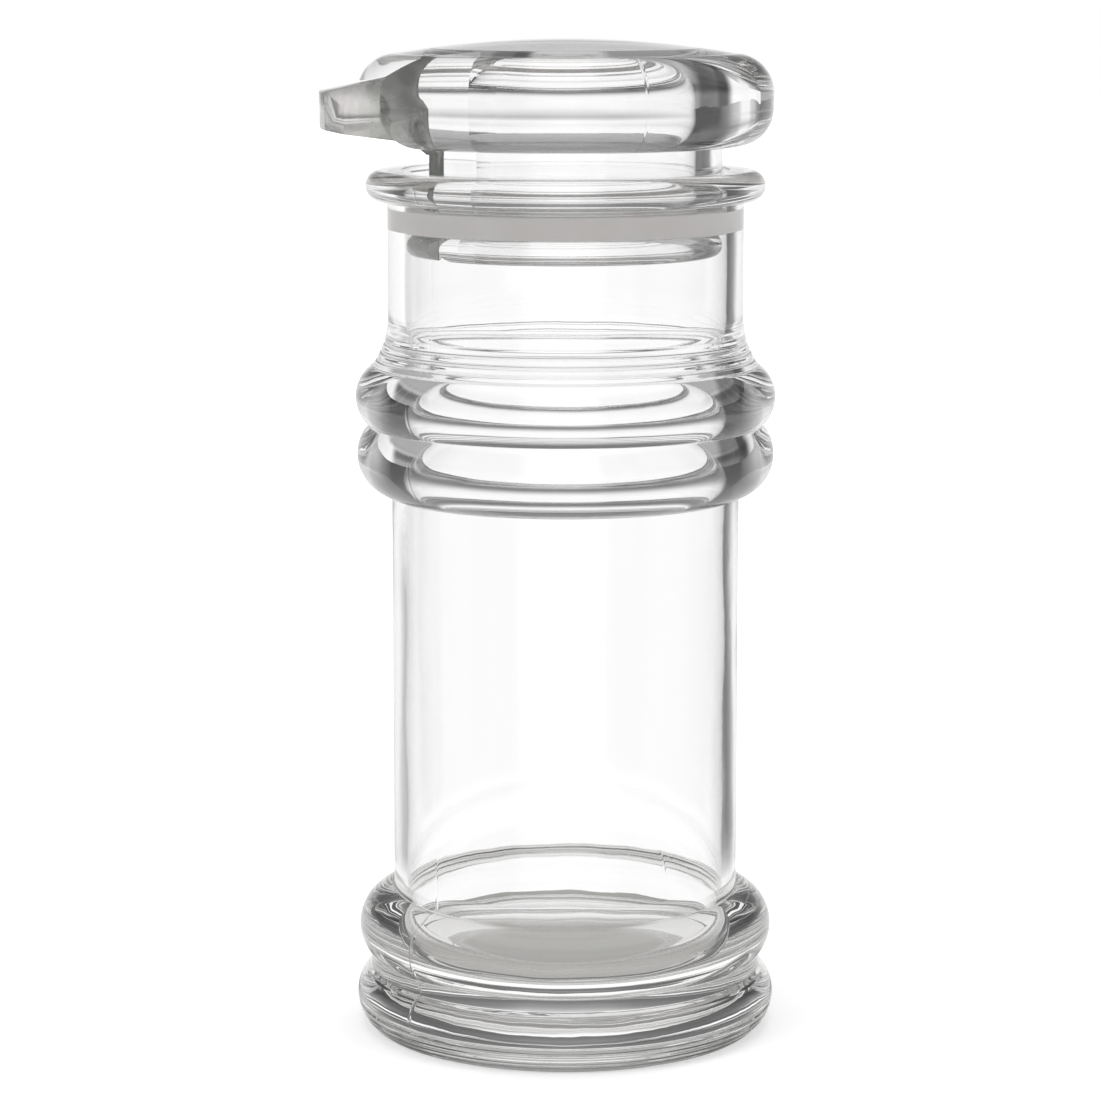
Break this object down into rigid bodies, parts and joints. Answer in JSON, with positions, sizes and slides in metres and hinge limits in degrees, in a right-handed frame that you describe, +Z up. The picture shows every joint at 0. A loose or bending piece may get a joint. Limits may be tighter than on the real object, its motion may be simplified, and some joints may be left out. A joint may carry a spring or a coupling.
{
  "type": "parmesan shaker",
  "caption": "Clear banded table shaker for grated cheese, with a domed plug lid, a soft seal ring and an L-shaped thumb lever over a pouring notch.",
  "frame": {"origin": "centre of the rest face under the base, on the jar's axis", "axes": "+Z up along the jar's axis, -X towards the thumb lever (left in the picture), +Y away from the viewer"},
  "size_m": [0.0753, 0.0702, 0.1644],
  "materials": {
    "clear_jar": "clear polished moulding, thick walls",
    "clear_lid": "clear polished moulding",
    "soft_seal": "translucent soft silicone, satin",
    "frosted_lever": "translucent frosted, faint green-grey",
    "clear_pin": "clear rod"
  },
  "bodies": {
    "jar": {"jar_body": "clear_jar"},
    "seal": {"seal_ring": "soft_seal"},
    "lid": {"lid_head": "clear_lid", "lid_crown": "clear_lid", "retaining_ring": "clear_lid", "lever_pin": "clear_pin"},
    "lever": {"thumb_lever": "frosted_lever"}
  },
  "joints": [
    {"name": "lid_lift", "type": "slide", "parent": "jar", "child": "seal", "axis": [0, 0, 1], "range_m": [0, 0.045]},
    {"name": "lid_turn", "type": "hinge", "parent": "seal", "child": "lid", "pos_m": [0, 0, 0.1353], "axis": [0, 0, 1], "continuous": true},
    {"name": "lever_press", "type": "hinge", "parent": "lid", "child": "lever", "pos_m": [-0.0216, 0, 0.1515], "axis": [0, -1, 0], "range_deg": [0, 14]}
  ]
}
